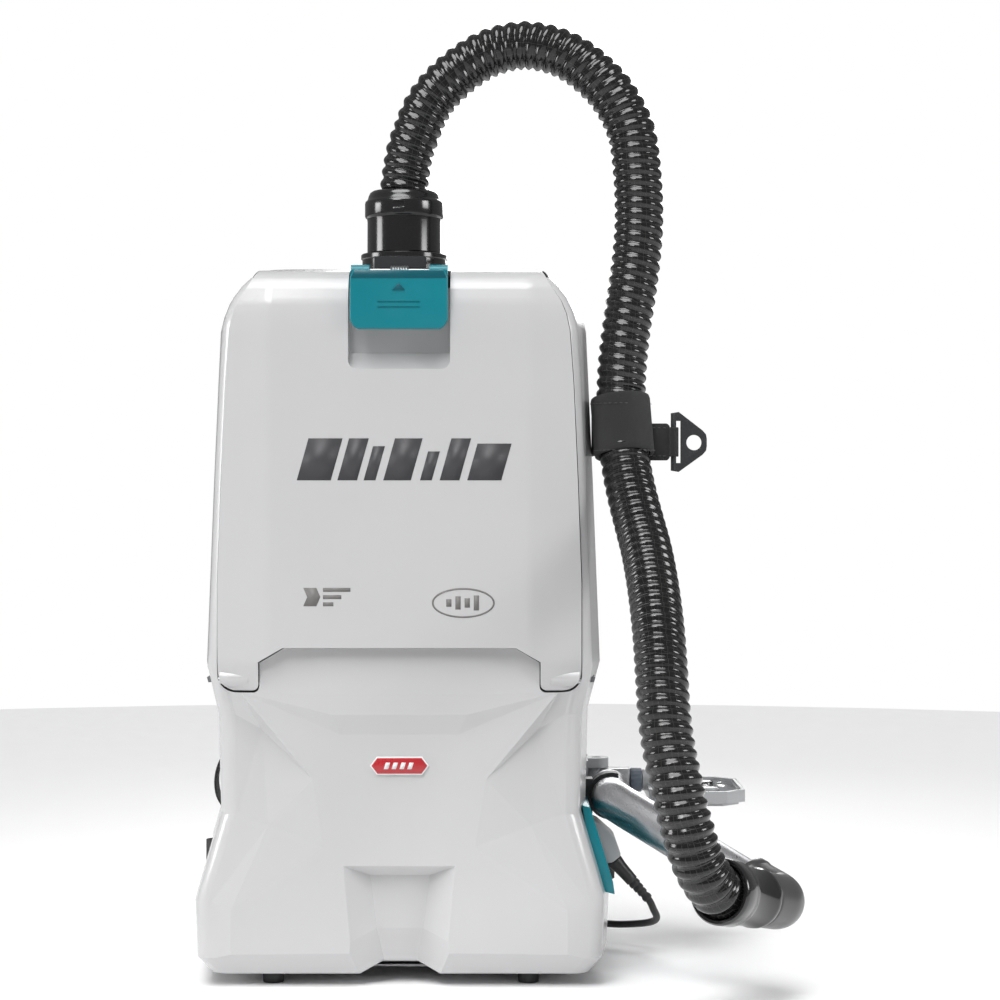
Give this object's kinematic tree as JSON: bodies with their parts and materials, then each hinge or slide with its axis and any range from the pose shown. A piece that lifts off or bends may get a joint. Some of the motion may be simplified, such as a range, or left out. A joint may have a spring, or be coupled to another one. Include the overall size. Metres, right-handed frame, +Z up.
{
  "type": "backpack vacuum cleaner",
  "caption": "Upright battery backpack vacuum with a flared base, hinged front lid, ribbed hose to an elbow and bent pipe, padded harness and a side control arm.",
  "frame": {"origin": "on the floor under the middle of the body, where its four feet stand", "axes": "+Z up, -Y the lid side, +Y the side worn against the back, +X the side with the control arm"},
  "size_m": [0.4879, 0.4195, 0.7565],
  "materials": {
    "shell_white": "glossy moulded plastic",
    "steel": "turned steel",
    "seal_rubber": "soft rubber",
    "teal_plastic": "satin moulded plastic",
    "dark_plastic": "fine grained plastic",
    "black_plastic": "polished plastic",
    "hose_black": "flexible glossy plastic",
    "pipe_metal": "satin anodised",
    "badge_red": "printed badge",
    "webbing": "woven webbing",
    "harness_fabric": "woven cloth over foam",
    "card": "pressed card",
    "bag_cloth": "non-woven filter cloth",
    "filter_paper": "pleated filter paper",
    "deck_grey": "moulded plastic",
    "cast_aluminium": "cast",
    "motor_iron": "laminated iron",
    "board_green": "lacquered board",
    "arm_grey": "satin moulded plastic",
    "knob_slate": "satin moulded plastic",
    "cable_rubber": "moulded rubber"
  },
  "bodies": {
    "root": {"main_housing": "shell_white", "back_shell": "shell_white", "lid_hinge_pins": "steel", "lid_gasket": "seal_rubber", "lid_catch": "dark_plastic", "feet": "seal_rubber", "badge": "badge_red", "inlet_port": "black_plastic", "port_seal": "seal_rubber", "hose": "hose_black", "elbow": "dark_plastic", "bent_pipe": "pipe_metal", "pipe_clip": "dark_plastic", "hose_strap": "webbing", "bag_bracket": "dark_plastic", "bag_card": "card", "dust_bag": "bag_cloth", "motor_deck": "deck_grey", "filter_frame": "dark_plastic", "filter_media": "filter_paper", "fan_housing": "dark_plastic", "motor_can": "dark_plastic", "stator": "motor_iron", "bearings": "steel", "motor_mounts": "seal_rubber", "control_board": "board_green", "battery_bay": "dark_plastic", "terminal_block": "black_plastic", "exhaust_cover": "teal_plastic", "exhaust_foam": "seal_rubber", "cable_cover": "arm_grey", "strain_relief": "cable_rubber", "control_cable": "cable_rubber", "arm_bracket": "arm_grey", "back_plate": "dark_plastic", "back_pad": "harness_fabric", "shoulder_strap_left": "harness_fabric", "shoulder_strap_right": "harness_fabric", "harness_webbing": "webbing", "hip_pads": "harness_fabric", "belt_buckle": "dark_plastic", "carry_handle": "dark_plastic", "case_screws": "steel"},
    "lid": {"lid_cover": "shell_white", "latch_pin": "steel", "latch_spring": "steel"},
    "latch": {"latch_lever": "teal_plastic"},
    "inlet_cuff": {"hose_cuff": "black_plastic"},
    "outlet_cuff": {"end_cuff": "black_plastic"},
    "fan": {"rotor": "motor_iron", "motor_shaft": "steel", "impeller": "cast_aluminium"},
    "battery": {"battery_pack": "black_plastic"},
    "battery_release": {"battery_button": "teal_plastic"},
    "holder_eye": {"holder_ring": "dark_plastic"},
    "control_arm": {"arm": "arm_grey"},
    "knob": {"clamp_knob": "knob_slate"},
    "panel": {"panel_housing": "arm_grey"},
    "power_key": {"power_button": "black_plastic"},
    "speed_key": {"speed_button": "arm_grey"}
  },
  "joints": [
    {"name": "lid_hinge", "type": "hinge", "parent": "root", "child": "lid", "pos_m": [0, -0.082, 0.236], "axis": [1, 0, 0], "range_deg": [0, 85]},
    {"name": "latch_hinge", "type": "hinge", "parent": "lid", "child": "latch", "pos_m": [0, -0.084, 0.549], "axis": [-1, 0, 0], "range_deg": [0, 40], "stiffness_Nm_per_rad": 0.2},
    {"name": "inlet_swivel", "type": "hinge", "parent": "root", "child": "inlet_cuff", "pos_m": [0, 0.01, 0.58], "axis": [0, 0, 1], "continuous": true},
    {"name": "outlet_swivel", "type": "hinge", "parent": "root", "child": "outlet_cuff", "pos_m": [0.267, -0.155, 0.08], "axis": [0.5744, 0.7898, -0.2154], "continuous": true},
    {"name": "fan_spin", "type": "hinge", "parent": "root", "child": "fan", "pos_m": [0.04, 0.01, 0.15], "axis": [0, 0, 1], "continuous": true},
    {"name": "battery_slide", "type": "slide", "parent": "root", "child": "battery", "axis": [-1, 0, 0], "range_m": [0, 0.11]},
    {"name": "battery_release", "type": "slide", "parent": "battery", "child": "battery_release", "axis": [1, 0, 0], "range_m": [0, 0.003], "stiffness_N_per_m": 800},
    {"name": "holder_swing", "type": "hinge", "parent": "root", "child": "holder_eye", "pos_m": [0.213, -0.04, 0.419], "axis": [0, 0, 1], "range_deg": [-70, 70]},
    {"name": "arm_swing", "type": "hinge", "parent": "root", "child": "control_arm", "pos_m": [0.158, 0.101, 0.139], "axis": [0, 0, 1], "range_deg": [0, 60]},
    {"name": "knob_turn", "type": "hinge", "parent": "control_arm", "child": "knob", "pos_m": [0.19, 0.101, 0.139], "axis": [1, 0, 0], "range_deg": [-90, 90]},
    {"name": "panel_tilt", "type": "hinge", "parent": "control_arm", "child": "panel", "pos_m": [0.2, 0.101, 0.139], "axis": [1, 0, 0], "range_deg": [-35, 35]},
    {"name": "power_press", "type": "slide", "parent": "panel", "child": "power_key", "axis": [0, 0, -1], "range_m": [0, 0.0012], "stiffness_N_per_m": 900},
    {"name": "speed_press", "type": "slide", "parent": "panel", "child": "speed_key", "axis": [0, 0, -1], "range_m": [0, 0.0012], "stiffness_N_per_m": 900}
  ]
}
